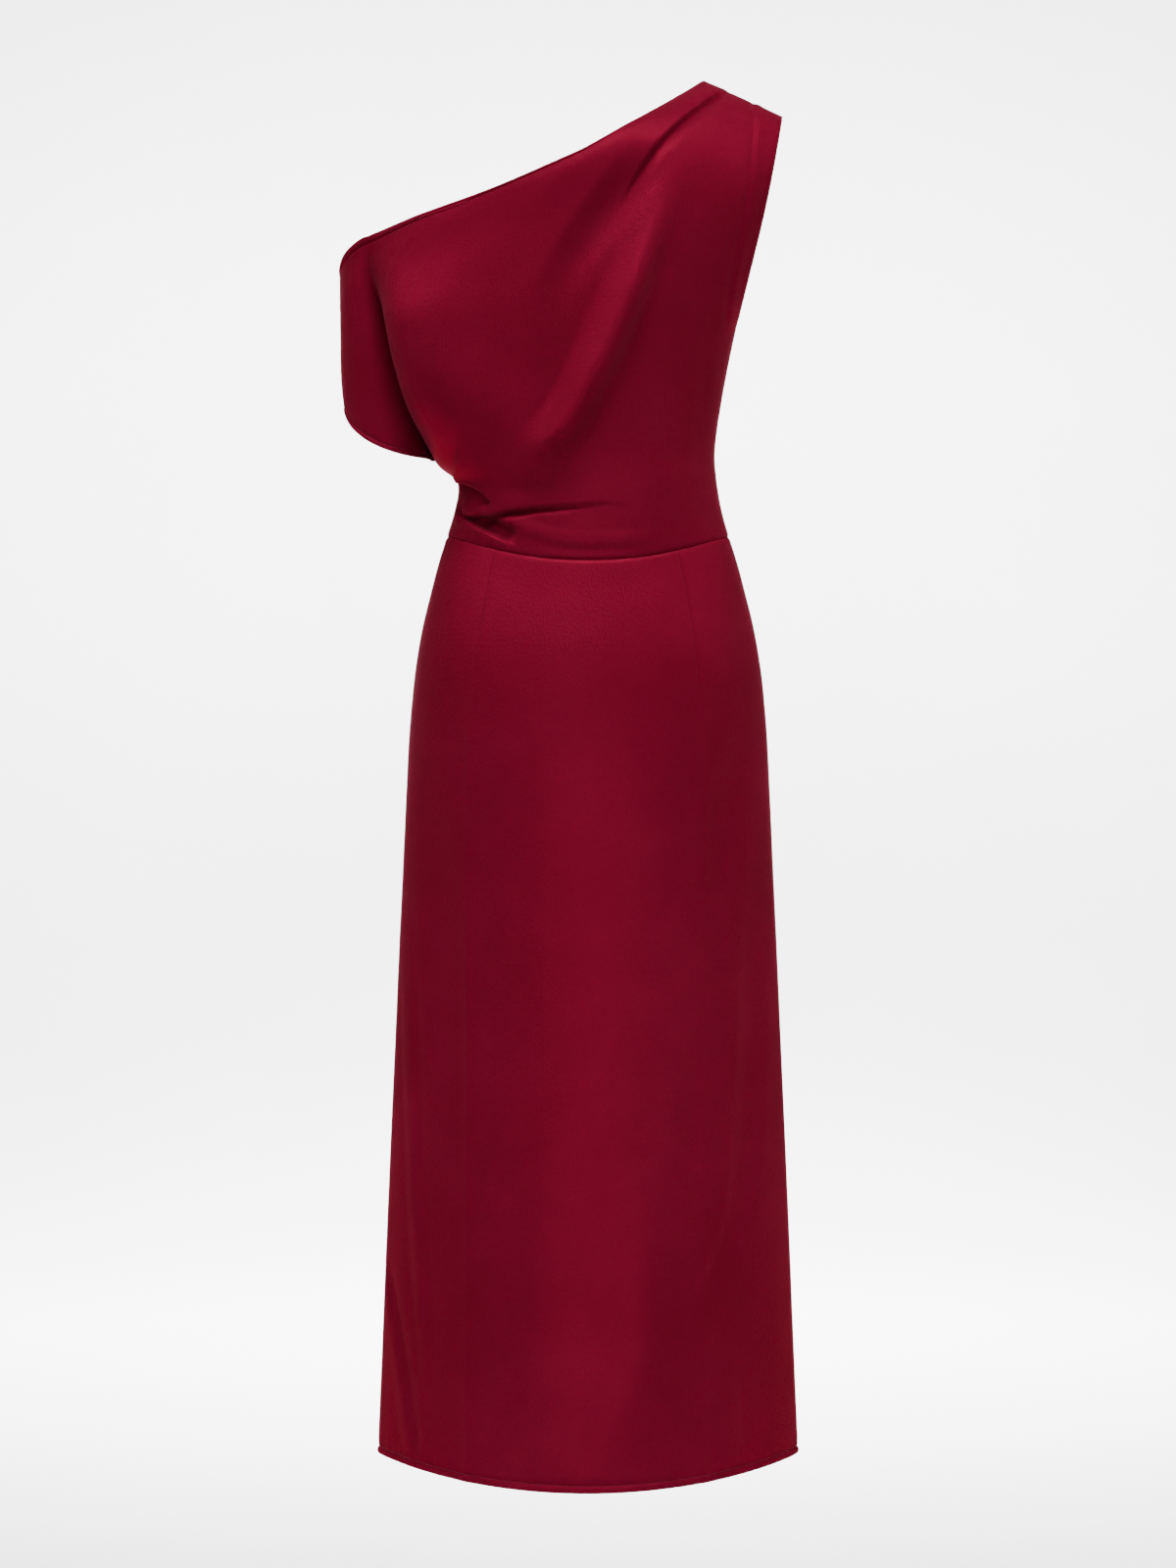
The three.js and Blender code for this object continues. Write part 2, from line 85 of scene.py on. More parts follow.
# Skirt, from the waist seam down to the hem. The edge column is 0.5 for an elliptical
# section and 1 for one that is creased sharp along the side seams.
SKIRT_COLUMNS = ("z", "half_width", "back", "front", "edge")
SKIRT_SECTIONS = np.array([
    (0, WAIST_HALF_WIDTH, 84, 80, 0.5),
    (-24, 132, 91, 86, 0.5),
    (-47, 138, 98, 90, 0.5),
    (-80, 146, 107, 94, 0.51),
    (-115, 152, 114, 97, 0.52),
    (-150, 155.8, 118, 100, 0.53),
    (-185, 158.4, 120, 102, 0.55),
    (-230, 160.6, 119, 104, 0.58),
    (-290, 163.4, 117, 107, 0.62),
    (-360, 166.8, 116, 110, 0.66),
    (-440, 170.2, 117, 113, 0.7),
    (-530, 174.2, 121, 117, 0.74),
    (-630, 178.4, 126, 122, 0.78),
    (-730, 182.4, 132, 128, 0.82),
    (-812, 185.8, 137, 133, 0.85),
])

# Bodice, from the waist seam up to the shoulder blades: the two ends of each section, its
# dip and depths, and how the cloth starts at its left end, over the sleeve
UNDERARM = 3
ARMHOLE_FOOT = 5
BLADES = 6
BODICE_COLUMNS = ("left", "left_z", "right", "right_z", "dip", "back", "front", "valley", "start")
BODICE_SECTIONS = np.array([
    (-124.5, 0, 124.5, 0, WAIST_DIP, 84, 80, 0, 0),
    (-117.5, 22.5, 118, 23, 20, 86, 83, 0, 0),
    (-115, 48.5, 113.5, 50, 11, 89.5, 88, 0, 0),
    (-134.5, 67, 112, 77, 4, 93.5, 97, 0, -5),
    (-148.5, 109, 118.3, 122, 0, 99.5, 109, 14, -20),
    (-171, 180, 130.8, 184.5, 0, 105, 114, 29, -14),
    (-188, 223.5, 155.6, 286, 0, 104, 108, 42, 6),
])
ARMHOLE_HALF_WIDTH = 45

# Sleeve, from the underarm up: its outer line, the depth and turn round the arm
SLEEVE_COLUMNS = ("outer", "outer_z", "depth", "turn", "slope", "ease")
SLEEVE_SECTIONS = np.array([
    (-215, 112, 43, 180, 3.9, 1.35),
    (-218, 139, 44, 166, 1.8, 1.1),
    (-218.6, 177, 45, 142, 1.2, 1),
    (-219, 208, 46, 112, 1.1, 1),
    (-219.2, 234.5, 48, 90, 1.1, 1),
])

# Neckline, from the sleeve to the shoulder, and the shoulder seam's outer end
NECKLINE_COLUMNS = ("x", "z", "back", "front")
NECKLINE = np.array([
    (-192.6, 259, 48, 42),
    (-144.6, 273.8, 66, 62),
    (-84.6, 292.8, 82, 78),
    (-33.8, 313.8, 86, 80),
    (0, 329.6, 84, 76),
    (33.9, 350.6, 74, 66),
    (68.4, 375.4, 50, 44),
    (101.8, 404.4, 0, 0),
])
SHOULDER_TIP = (171.6, 373.2)
CORNER = 0.8

# The cloth under the neckline stands more upright than its sections, fading out below it
UPRIGHT_NECK = 12.0
UPRIGHT_REACH = 62

SIDES = {
    "back": {"name": "back", "turn": 1, "neck_drop": 0, "sleeve_lift": 0},
    "front": {"name": "front", "turn": -1, "neck_drop": 9, "sleeve_lift": 11},
}

# Folds, each along a path from x, z to x, z. A ridge, or a trough below zero, is even on
# both sides. A ledge stands full height on its own side and drops over its lip to a hollow
# as deep as under and as wide as foot. Roll leans its lip out over the hollow. Fade is the
# share of the path over which a fold comes and goes.
BACK_BODICE_FOLDS = [
    {"path": [(104, 330), (76, 282), (59, 242), (46, 208), (34, 178), (22, 150), (9, 122),
              (-3, 98), (-20, 75), (-47, 56), (-82, 41)],
     "kind": "ledge", "width": 40, "height": 28, "foot": 50, "under": 1, "lip": 14, "roll": 0,
     "side": -1, "fade": (0.42, 0.24)},
    {"path": [(66, 334), (38, 300), (14, 268), (-10, 232), (-30, 192), (-48, 148)],
     "kind": "ridge", "width": 24, "height": -7, "fade": (0.3, 0.45)},
    {"path": [(-10, 268), (-34, 214), (-58, 150), (-74, 96)],
     "kind": "ridge", "width": 34, "height": 3, "fade": (0.4, 0.35)},
    {"path": [(-150, 272), (-140, 214), (-132, 168), (-124, 124), (-114, 80)],
     "kind": "ridge", "width": 56, "height": 2, "fade": (0.6, 0.4)},
    {"path": [(109, 225), (102, 140), (98, 80), (99, 26)],
     "kind": "ridge", "width": 10, "height": -0.5, "fade": (0.3, 0.3)},
    {"path": [(127, 396), (99, 373), (77, 352), (59, 331), (45, 311), (33, 288), (22, 258)],
     "kind": "ledge", "width": 18, "height": 1.8, "foot": 13, "under": 4.4, "lip": 0.7, "roll": 1.0,
     "side": -1, "fade": (0.12, 0.55)},
    {"path": [(-118, 48), (-108, 46), (-99, 41), (-90, 34), (-84, 27), (-85, 19)],
     "kind": "ledge", "width": 40, "height": 5, "foot": 14, "under": 5, "lip": 1.6, "roll": 1.2,
     "side": 1, "fade": (0.03, 0.35)},
    {"path": [(-112, 18), (-98, 16), (-86, 16), (-68, 19), (-47, 21), (-17, 22), (17, 23), (52, 16)],
     "kind": "ledge", "width": 20, "height": 2.6, "foot": 10, "under": 7.2, "lip": 2.2, "roll": 1.8,
     "side": 1, "fade": (0.03, 0.55)},
    {"path": [(-119, 25), (-106, 11), (-90, 1), (-74, -8), (-56, -14)],
     "kind": "ledge", "width": 12, "height": 2.6, "foot": 9, "under": 3.4, "lip": 1.6, "roll": 1.2,
     "side": -1, "fade": (0.02, 0.55)},
    {"path": [(-96, 26), (-60, 5), (-20, -7), (30, -8), (70, -2)],
     "kind": "ridge", "width": 10, "height": 2.2, "fade": (0.2, 0.3)},
    {"path": [(-100, 13), (-88, 8), (-74, 1), (-60, -5)],
     "kind": "ridge", "width": 9, "height": -9.0, "fade": (0.2, 0.35)},
    {"path": [(147, 384), (146, 344), (141, 300), (134, 261), (126, 214), (122, 178)],
     "kind": "ledge", "width": 12, "height": 0.9, "foot": 7, "under": 0.7, "lip": 0.8, "roll": 0.2,
     "side": 1, "fade": (0.02, 0.15)},
    {"path": [(146, 388), (147, 376)], "kind": "ridge", "width": 3, "height": -0.9, "fade": (0.2, 0.5)},
]
FRONT_BODICE_FOLDS = [
    {"path": [(92, 326), (74, 280), (46, 226), (20, 180), (-10, 122), (-48, 78), (-80, 56)],
     "kind": "ridge", "width": 27, "height": 7, "fade": (0.3, 0.3)},
    {"path": [(104, 290), (80, 226), (44, 166), (14, 112), (-20, 70)],
     "kind": "ridge", "width": 21, "height": -4.5, "fade": (0.3, 0.3)},
    {"path": [(110, 370), (70, 334), (20, 300), (-40, 274), (-90, 250)],
     "kind": "ridge", "width": 20, "height": 5, "fade": (0.15, 0.45)},
    {"path": [(80, 322), (34, 286), (4, 246), (-16, 190), (-40, 140)],
     "kind": "ridge", "width": 20, "height": -4.5, "fade": (0.25, 0.4)},
    {"path": [(-108, 220), (-104, 150), (-100, 96)],
     "kind": "ridge", "width": 22, "height": -3.5, "fade": (0.35, 0.35)},
    {"path": [(127, 394), (104, 368), (80, 340), (56, 310)],
     "kind": "ledge", "width": 16, "height": 2.4, "foot": 13, "under": 2.0, "lip": 2.4, "roll": 1.4,
     "side": -1, "fade": (0.02, 0.6)},
    {"path": [(-116, 42), (-102, 39), (-90, 32), (-84, 22)],
     "kind": "ledge", "width": 22, "height": 3.6, "foot": 12, "under": 4, "lip": 2.4, "roll": 1.6,
     "side": 1, "fade": (0.05, 0.3)},
    {"path": [(-110, 16), (-80, 15), (-40, 19), (0, 21), (30, 18)],
     "kind": "ledge", "width": 22, "height": 2.8, "foot": 9, "under": 3.8, "lip": 2.6, "roll": 1.4,
     "side": 1, "fade": (0.03, 0.5)},
]
BACK_SKIRT_FOLDS = [
    {"path": [(150, -270), (145, -374), (143, -449), (138, -533), (126, -610), (100, -657), (70, -700)],
     "kind": "ridge", "width": 17, "height": -3.6, "fade": (0.25, 0.3)},
    {"path": [(102, -400), (98, -450), (92, -500), (84, -560), (70, -640)],
     "kind": "ridge", "width": 22, "height": -2.6, "fade": (0.3, 0.4)},
    {"path": [(-160, -300), (-157, -410), (-155, -478), (-150, -588), (-144, -689), (-138, -760)],
     "kind": "ridge", "width": 9, "height": 2.4, "fade": (0.3, 0.3)},
    {"path": [(-181, -632), (-171, -686), (-162, -735), (-152, -798)],
     "kind": "ledge", "width": 14, "height": 1.7, "foot": 11, "under": 2.4, "lip": 2.2, "roll": 0.8,
     "side": -1, "fade": (0.25, 0.05)},
    {"path": [(-140, -190), (-130, -300), (-122, -430), (-116, -560)],
     "kind": "ridge", "width": 24, "height": -2.6, "fade": (0.3, 0.4)},
    {"path": [(138, -160), (122, -240), (114, -330)],
     "kind": "ridge", "width": 22, "height": -2.2, "fade": (0.3, 0.3)},
    {"path": [(46, -560), (50, -640), (44, -720), (30, -790)],
     "kind": "ridge", "width": 26, "height": 2.2, "fade": (0.4, 0.3)},
    {"path": [(110, -700), (118, -760), (120, -806)],
     "kind": "ridge", "width": 18, "height": 1.8, "fade": (0.5, 0.05)},
    {"path": [(-60, -520), (-66, -640), (-84, -760)],
     "kind": "ridge", "width": 28, "height": -1.8, "fade": (0.4, 0.3)},
]
FRONT_SKIRT_FOLDS = [
    {"path": [(-148, -290), (-143, -420), (-136, -540), (-118, -640), (-84, -720)],
     "kind": "ridge", "width": 18, "height": -3.6, "fade": (0.25, 0.3)},
    {"path": [(-60, -430), (-72, -560), (-92, -690)],
     "kind": "ridge", "width": 25, "height": -2.6, "fade": (0.4, 0.3)},
    {"path": [(154, -330), (150, -520), (142, -700)],
     "kind": "ridge", "width": 10, "height": 2.4, "fade": (0.3, 0.3)},
    {"path": [(60, -300), (72, -470), (64, -640)],
     "kind": "ridge", "width": 30, "height": 2.6, "fade": (0.4, 0.4)},
    {"path": [(134, -180), (118, -300), (110, -420)],
     "kind": "ridge", "width": 24, "height": -2.4, "fade": (0.3, 0.4)},
]

# Stitches: their spacing and size, the places along one with its thickness and lift there,
# and the corners of its section
STITCH_PITCH = 2.7
STITCH_LENGTH = 2.0
STITCH_WIDTH = 0.42
STITCH_HEIGHT = 0.26
STITCH_RINGS = [(-1.0, 0.25, -0.3), (-0.7, 0.85, 0.5), (0, 1, 1), (0.7, 0.85, 0.5), (1.0, 0.25, -0.3)]
STITCH_SECTION = [(-1, -0.6), (-0.6, 0.75), (0.6, 0.75), (1, -0.6)]

SATIN_COLOURS = {
    "deep": (0.16, 0.0050, 0.019),
    "mid": (0.178, 0.0056, 0.0222),
    "light": (0.198, 0.0067, 0.0262),
}
THREAD_COLOUR = (0.125, 0.003, 0.012)

# Studio, in metres in the part's frame: a floor that bends up into a wall
FLOOR_Z = -1.52
FLOOR_FRONT = -6.0
FLOOR_HALF_WIDTH = 9.0
WALL_Y = 5.5
WALL_TOP = 7.0
BEND = 2.2
BEND_STEPS = 16

# Lights. Power is in watts, and spread is in degrees.
HIPS = (-0.137, 0.0, -0.55)
LIGHTS = [
    {"name": "key", "place": (-0.15, -1.5, 2.4), "target": (-0.137, 0.0, -0.25),
     "size": (2.4, 1.2), "power": 31, "spread": 90},
    {"name": "front", "place": (-0.137, -2.8, -1.0), "target": (-0.137, 0.0, -0.70),
     "size": (4.8, 0.5), "power": 4.6, "spread": 46},
    {"name": "side_left", "place": (-1.9, -0.7, 1.1), "target": HIPS,
     "size": (0.9, 1.3), "power": 16, "spread": 180},
    {"name": "side_right", "place": (1.65, -0.7, 1.1), "target": HIPS,
     "size": (0.9, 1.3), "power": 15, "spread": 180},
    {"name": "rim_left", "place": (-1.9, 1.1, 1.3), "target": HIPS,
     "size": (0.8, 0.8), "power": 6, "spread": 180},
    {"name": "rim_right", "place": (1.6, 1.1, 1.3), "target": HIPS,
     "size": (0.8, 0.8), "power": 10, "spread": 180},
    {"name": "wall_left", "place": (-3.2, 0.9, 0.5), "target": (-1.0, 5.5, 0.1),
     "size": (1.6, 2.6), "power": 225, "spread": 66},
    {"name": "wall_right", "place": (2.9, 0.9, 0.5), "target": (0.7, 5.5, 0.1),
     "size": (1.6, 2.6), "power": 225, "spread": 66},
    {"name": "floor_wash", "place": (-0.14, 3.0, 2.4), "target": (-0.14, 2.6, -1.5),
     "size": (3.2, 1.2), "power": 360, "spread": 70},
]
WORLD_STRENGTH = 0.13

# Camera: level with the middle of the picture, behind the dress
CAMERA_DISTANCE = 3.0
CAMERA_X = -0.1367
CAMERA_Z = -0.6068
FRAME_HEIGHT = 1.392
SENSOR_HEIGHT = 36

# Farther than anything on the dress, for a place that an edge or seam doesn't reach
FAR = 1e3

# Each dart of the skirt: where round the waist it starts, how far it shifts by its point
DARTS = [
    {"across": -0.438, "shift": -0.024, "length": 168},
    {"across": 0.428, "shift": 0.018, "length": 160},
]
DART_COLUMNS = np.array([-0.022, -0.014, -0.008, -0.004, 0, 0.004, 0.008, 0.014, 0.022])
DART_CLEARANCE = 0.028


def smooth_step(low, high, value):
    share = np.clip((value - low) / (high - low), 0, 1)
    return share * share * (3 - 2 * share)


def lerp(a, b, share):
    return a + (b - a) * share


def table_at(table, columns, name, row):
    """A column of a table at fractional rows, on a smooth curve through its rows."""
    values = table[:, columns.index(name)]
    last = len(values) - 1
    i = np.clip(np.floor(row), 0, last - 1).astype(int)
    f = row - i
    before = values[np.clip(i - 1, 0, last)]
    here = values[i]
    after = values[np.clip(i + 1, 0, last)]
    beyond = values[np.clip(i + 2, 0, last)]
    slope_in = (after - before) / 2
    slope_out = (beyond - here) / 2
    rise = after - here
    cubic = slope_in + slope_out - 2 * rise
    square = 3 * rise - 2 * slope_in - slope_out
    return here + f * (slope_in + f * (square + f * cubic))


def stack(side, x, depth, z):
    """Points from their x, their depth outward from the middle and their z."""
    y = np.maximum(depth, HALF_GAP) * -side["turn"]
    return np.stack(np.broadcast_arrays(x * FULLNESS, y, z), axis=-1).astype(float)


def skirt_points(side, across, row):
    at = lambda name: table_at(SKIRT_SECTIONS, SKIRT_COLUMNS, name, row)
    even = np.clip((at("edge") - 0.5) * 1.6, 0, 1)
    share = lerp(np.sin(across * math.pi / 2), across, even)
    bow = np.maximum(1 - share * share, 0)
    fall = np.clip(-at("z") / SKIRT_LENGTH, 0, 1)
    z = at("z") - lerp(WAIST_DIP, HEM_DIP, fall) * bow - HALF_GAP
    return stack(side, at("half_width") * share, at(side["name"]) * bow ** at("edge"), z)


def top_points(side, across):
    row = np.minimum(across / CORNER, 1) * (len(NECKLINE) - 1)
    at = lambda name: table_at(NECKLINE, NECKLINE_COLUMNS, name, row)
    past = np.clip((across - CORNER) / (1 - CORNER), 0, 1)
    drop = side["neck_drop"] * np.sin(math.pi * np.minimum(across / CORNER, 1))
    x = lerp(at("x"), SHOULDER_TIP[0], past)
    z = lerp(at("z") - drop, SHOULDER_TIP[1], past)
    depth = np.where(past > 0, 0, np.maximum(at(side["name"]), 0))
    return x, depth, z


def section_points(side, across, row):
    at = lambda name: table_at(BODICE_SECTIONS, BODICE_COLUMNS, name, row)
    bulge = at(side["name"])
    openness = np.where(row > ARMHOLE_FOOT, np.sqrt(np.clip(1 - (BLADES - row) ** 2, 0, 1)), 0)
    start = np.where(row > UNDERARM - 1, np.radians(at("start")), 0)
    end = math.pi - np.arcsin(ARMHOLE_HALF_WIDTH * openness / bulge)
    angle = lerp(start, end, across)
    left, right = at("left"), at("right")
    half_width = (right - left) / (np.cos(start) - np.cos(end))
    x = left + half_width * (np.cos(start) - np.cos(angle))
    valley = np.where(row > UNDERARM, np.maximum(at("valley"), 0), 0)
    lift = valley - bulge * np.sin(start)
    fade = 1 - smooth_step(0, math.pi / 2, angle)
    share = np.clip((x - left) / (right - left), 0, 1)
    z = lerp(at("left_z"), at("right_z"), share) - at("dip") * 4 * share * (1 - share)
    return x, lift * fade + bulge * np.sin(angle), z


def torso_points(side, across, row):
    across, row = np.broadcast_arrays(across, row)
    x, depth, z = section_points(side, across, np.minimum(row, BLADES))
    top_x, top_depth, top_z = top_points(side, across)
    f = np.clip(row - BLADES, 0, 1)
    roundness = lerp(1.1, 2, smooth_step(0, CORNER, across))
    left = np.maximum(1 - f ** roundness, 0) ** (1 / roundness)
    over = row > BLADES
    x = np.where(over, lerp(x, top_x, f), x)
    z = np.where(over, lerp(z, top_z, f), z)
    depth = np.where(over, lerp(top_depth, depth, left), depth)
    return stack(side, x, depth, z + np.where(row <= 0, HALF_GAP, 0))


def sleeve_points(side, around, row):
    around, row = np.broadcast_arrays(around, row)
    at = lambda name: table_at(SLEEVE_SECTIONS, SLEEVE_COLUMNS, name, row - UNDERARM)
    body = torso_points(side, np.zeros_like(row), row)
    turn = np.radians(at("turn"))
    angle = around * turn
    share = (1 - np.cos(angle)) / (1 - np.cos(turn))
    missing = np.abs(body[..., 1]) - at("depth") * np.sin(turn)
    drop = 1 - (1 - around ** at("ease")) ** at("slope")
    lift = side["sleeve_lift"] * np.sin(angle) * np.clip(UNDERARM + 1 - row, 0, 1)
    return stack(
        side,
        lerp(at("outer"), body[..., 0], share),
        at("depth") * np.sin(angle) + missing * around * around,
        lerp(at("outer_z"), body[..., 2], drop) + lift,
    )


def blur_rows(points, sigma, weight=None):
    """Evens out a grid along its rows' direction, keeping its first and last rows."""
    reach = int(3 * sigma)
    low = 2 * points[:1] - points[reach:0:-1]
    high = 2 * points[-1:] - points[-2:-reach - 2:-1]
    padded = np.concatenate([low, points, high])
    kernel = np.exp(-0.5 * (np.arange(-reach, reach + 1) / sigma) ** 2)
    kernel /= kernel.sum()
    even = sum(k * padded[n:n + len(points)] for n, k in enumerate(kernel))
    if weight is None:
        return even
    return lerp(points, even, weight)


def arc_lengths(points):
    """How far each point lies along its line from the line's first point, down axis 0."""
    steps = np.linalg.norm(np.diff(points, axis=0), axis=-1)
    return np.concatenate([np.zeros((1,) + steps.shape[1:]), np.cumsum(steps, axis=0)])


def respace(points, distances, count):
    """Moves the first points in from row 0 of a grid to set distances from it, and spaces
    the ones after them evenly up to row count."""
    lengths = arc_lengths(points[:count + 1])
    result = points.copy()
    rest = np.arange(1, count - len(distances) + 2) / (count - len(distances) + 1)
    for j in range(points.shape[1]):
        reach = lengths[-1, j]
        even = distances[-1] + rest * (reach - distances[-1])
        wanted = np.concatenate([distances, even])
        for axis in range(3):
            result[:count + 1, j, axis] = np.interp(wanted, lengths[:, j], points[:count + 1, j, axis])
    return result


def grid_normals(points, turn):
    down = np.gradient(points, axis=0)
    across = np.gradient(points, axis=1)
    normals = np.cross(across, down) * turn
    return normals / np.maximum(np.linalg.norm(normals, axis=-1, keepdims=True), 1e-9)


def smooth_path(path, steps=10):
    """A smooth curve through the points of a path."""
    table = np.array(path, float)
    rows = np.linspace(0, len(path) - 1, (len(path) - 1) * steps + 1)
    return np.stack([table_at(table, (0, 1), name, rows) for name in (0, 1)], axis=-1)


def fold_field(fold, x, z):
    """Height of one fold over its panel, and how far it rolls its cloth sideways."""
    line = smooth_path(fold["path"])
    widest = max(fold["width"], fold.get("foot", 0)) + 2
    near = (
        (x > line[:, 0].min() - widest) & (x < line[:, 0].max() + widest)
        & (z > line[:, 1].min() - widest) & (z < line[:, 1].max() + widest)
    )
    height = np.zeros(x.shape)
    roll = np.zeros(x.shape + (2,))
    if not near.any():
        return height, roll
    spots = np.stack([x[near], z[near]], axis=-1)
    best = np.full(len(spots), np.inf)
    along = np.zeros(len(spots))
    across = np.zeros((len(spots), 2))
    signed = np.zeros(len(spots))
    for n, (a, b) in enumerate(zip(line[:-1], line[1:])):
        step = b - a
        f = np.clip((spots - a) @ step / (step @ step), 0, 1)
        away = spots - a - f[:, None] * step
        distance = np.linalg.norm(away, axis=1)
        nearer = distance < best
        normal = np.array([-step[1], step[0]]) / np.linalg.norm(step)
        best[nearer] = distance[nearer]
        along[nearer] = (n + f[nearer]) / (len(line) - 1)
        across[nearer] = normal
        signed[nearer] = np.where(away[nearer] @ normal >= 0, 1, -1) * distance[nearer]
    fade_in, fade_out = fold["fade"]
    strength = smooth_step(0, fade_in, along) * (1 - smooth_step(1 - fade_out, 1, along))
    if fold["kind"] == "ridge":
        share = np.minimum(best / fold["width"], 1)
        height[near] = fold["height"] * (1 - share ** 2) ** 2 * strength
        return height, roll
    signed = signed * fold["side"]
    lip = fold["lip"]
    upper = smooth_step(-lip, lip, signed)
    crown = fold["height"] * upper * (1 - smooth_step(0, fold["width"], signed))
    hollow = fold["under"] * (1 - upper) * (1 - smooth_step(0, fold["foot"], -signed))
    height[near] = (crown - hollow) * strength
    overhang = fold["roll"] * np.exp(-(((signed - lip * 0.6) / (lip * 1.3)) ** 2)) * strength
    roll[near] = -across * (fold["side"] * overhang)[:, None]
    return height, roll


def folded(points, normals, folds, calm):
    """A grid with its folds raised on it."""
    height = np.zeros(points.shape[:-1])
    shift = np.zeros(points.shape[:-1] + (2,))
    for fold in folds:
        one_height, one_shift = fold_field(fold, points[..., 0], points[..., 2])
        height += one_height
        shift += one_shift
    result = points + normals * (height * calm)[..., None]
    result[..., 0] += shift[..., 0] * calm
    result[..., 2] += shift[..., 1] * calm
    return result


def soft_noise(u, v, size, seed):
    """Even, soft random heights from -1 to 1 over a surface, in lumps of about that size."""
    random = np.random.default_rng(seed)
    lattice = random.uniform(-1, 1, (64, 64))
    a, b = u / size + 20, v / size + 20
    i, j = np.floor(a).astype(int), np.floor(b).astype(int)
    f, g = a - i, b - j
    f, g = f * f * (3 - 2 * f), g * g * (3 - 2 * g)
    at = lambda m, n: lattice[m % 64, n % 64]
    low = lerp(at(i, j), at(i + 1, j), f)
    high = lerp(at(i, j + 1), at(i + 1, j + 1), f)
    return lerp(low, high, g)


def surface_lengths(points):
    """How far each point lies across and up its panel, along the cloth."""
    up = arc_lengths(points)
    across = arc_lengths(points.swapaxes(0, 1)).swapaxes(0, 1)
    across -= across[:, across.shape[1] // 2][:, None]
    return across, up


def to_frame(points):
    return (points - ORIGIN) * MM


def mesh_object(name, vertices, faces, material, uv=None):
    mesh = bpy.data.meshes.new(name)
    mesh.from_pydata(vertices.tolist(), [], faces)
    if uv is not None:
        layer = mesh.uv_layers.new(name="weave")
        loops = np.zeros(len(mesh.loops), int)
        mesh.loops.foreach_get("vertex_index", loops)
        layer.data.foreach_set("uv", uv[loops].astype(np.float32).ravel())
    mesh.shade_smooth()
    mesh.materials.append(material)
    piece = bpy.data.objects.new(name, mesh)
    bpy.context.scene.collection.objects.link(piece)
    return piece


def shell(name, outer, inner, cells, turn, material, uv):
    """A closed skin of cloth between an outer and an inner grid."""
    rows, columns = outer.shape[:2]
    number = np.arange(rows * columns).reshape(rows, columns)
    under = number + rows * columns
    faces = []

    def quads(a, b, c, d, mask):
        corners = (a, b, c, d) if turn > 0 else (a, d, c, b)
        faces.extend(np.stack(corners, axis=-1)[mask].tolist())

    a, b = number[:-1, :-1], number[:-1, 1:]
    c, d = number[1:, 1:], number[1:, :-1]
    low, right = under[:-1, :-1], under[:-1, 1:]
    high, left = under[1:, 1:], under[1:, :-1]
    quads(a, b, c, d, cells)
    quads(low, left, high, right, cells)
    padded = np.pad(cells, 1)
    quads(b, a, low, right, cells & ~padded[:-2, 1:-1])
    quads(c, b, right, high, cells & ~padded[1:-1, 2:])
    quads(d, c, high, left, cells & ~padded[2:, 1:-1])
    quads(a, d, left, low, cells & ~padded[1:-1, :-2])
    vertices = to_frame(np.concatenate([outer.reshape(-1, 3), inner.reshape(-1, 3)]))
    used = np.unique(np.concatenate([np.ravel(face) for face in faces]))
    renumber = np.full(len(vertices), -1)
    renumber[used] = np.arange(len(used))
    faces = [[int(renumber[v]) for v in face] for face in faces]
    both = np.concatenate([uv.reshape(-1, 2)] * 2)[used]
    return mesh_object(name, vertices[used], faces, material, both)


def cloth_panel(name, points, normals, cells, turn, material):
    across, up = surface_lengths(points)
    uv = np.stack([across, up], axis=-1) * MM
    inner = points - normals * CLOTH
    return shell(name, points, inner, cells, turn, material, uv)


def hem_relief(from_edge, width):
    """The soft roll of a turned hem and the groove that its stitches pull."""
    roll = 0.7 * np.exp(-(((from_edge - width * 0.5) / (width * 0.3)) ** 2))
    return roll - 1.2 * np.exp(-(((from_edge - width) / 0.9) ** 2))


def turned_hem(name, points, normals, count, turn, material):
    """The turned-in cloth along a panel's first rows, on its inside."""
    across, up = surface_lengths(points)
    uv = np.stack([across, up], axis=-1)[:count + 1] * MM
    near = (points - normals * (CLOTH + TURNED_GAP))[:count + 1]
    far = (points - normals * (CLOTH + TURNED_GAP + TURNED_CLOTH))[:count + 1]
    cells = np.ones((near.shape[0] - 1, near.shape[1] - 1), bool)
    return shell(name, near, far, cells, turn, material, uv)


def bodice_rows():
    """Rows of the bodice's grid, as places in its table of sections, closer near the top."""
    low = np.linspace(0, UNDERARM, 64, endpoint=False)
    middle = np.linspace(UNDERARM, BLADES, 66, endpoint=False)
    high = BLADES + np.sin(np.linspace(0, math.pi / 2, 46))
    return np.concatenate([low, middle, high])


def bodice_grid(side):
    """The plain bodice, sleeve columns first. Row 0 is at the waist."""
    rows = bodice_rows()[:, None]
    spread = np.linspace(0, 1, NECK_COLUMN_COUNT)
    lower = CORNER * (0.7 * spread + 0.3 * spread ** 2)
    shoulder_across = np.linspace(CORNER, 1, SHOULDER_COLUMN_COUNT + 1)[1:]
    torso_across = np.concatenate([lower, shoulder_across])[None]
    around = np.linspace(0, 1, SLEEVE_COLUMN_COUNT, endpoint=False)[None]
    torso = torso_points(side, torso_across, rows)
    shoulder = np.exp(-(((rows[..., 0] - BLADES) / 0.5) ** 2))[:, None, None]
    torso = blur_rows(torso, 2.5)
    torso = blur_rows(torso, 7, shoulder)
    sleeve = sleeve_points(side, around, np.maximum(rows, UNDERARM))
    sleeve = np.where((rows >= UNDERARM)[..., None], sleeve, torso[:, :1])
    return np.concatenate([sleeve, torso], axis=1), rows[:, 0]


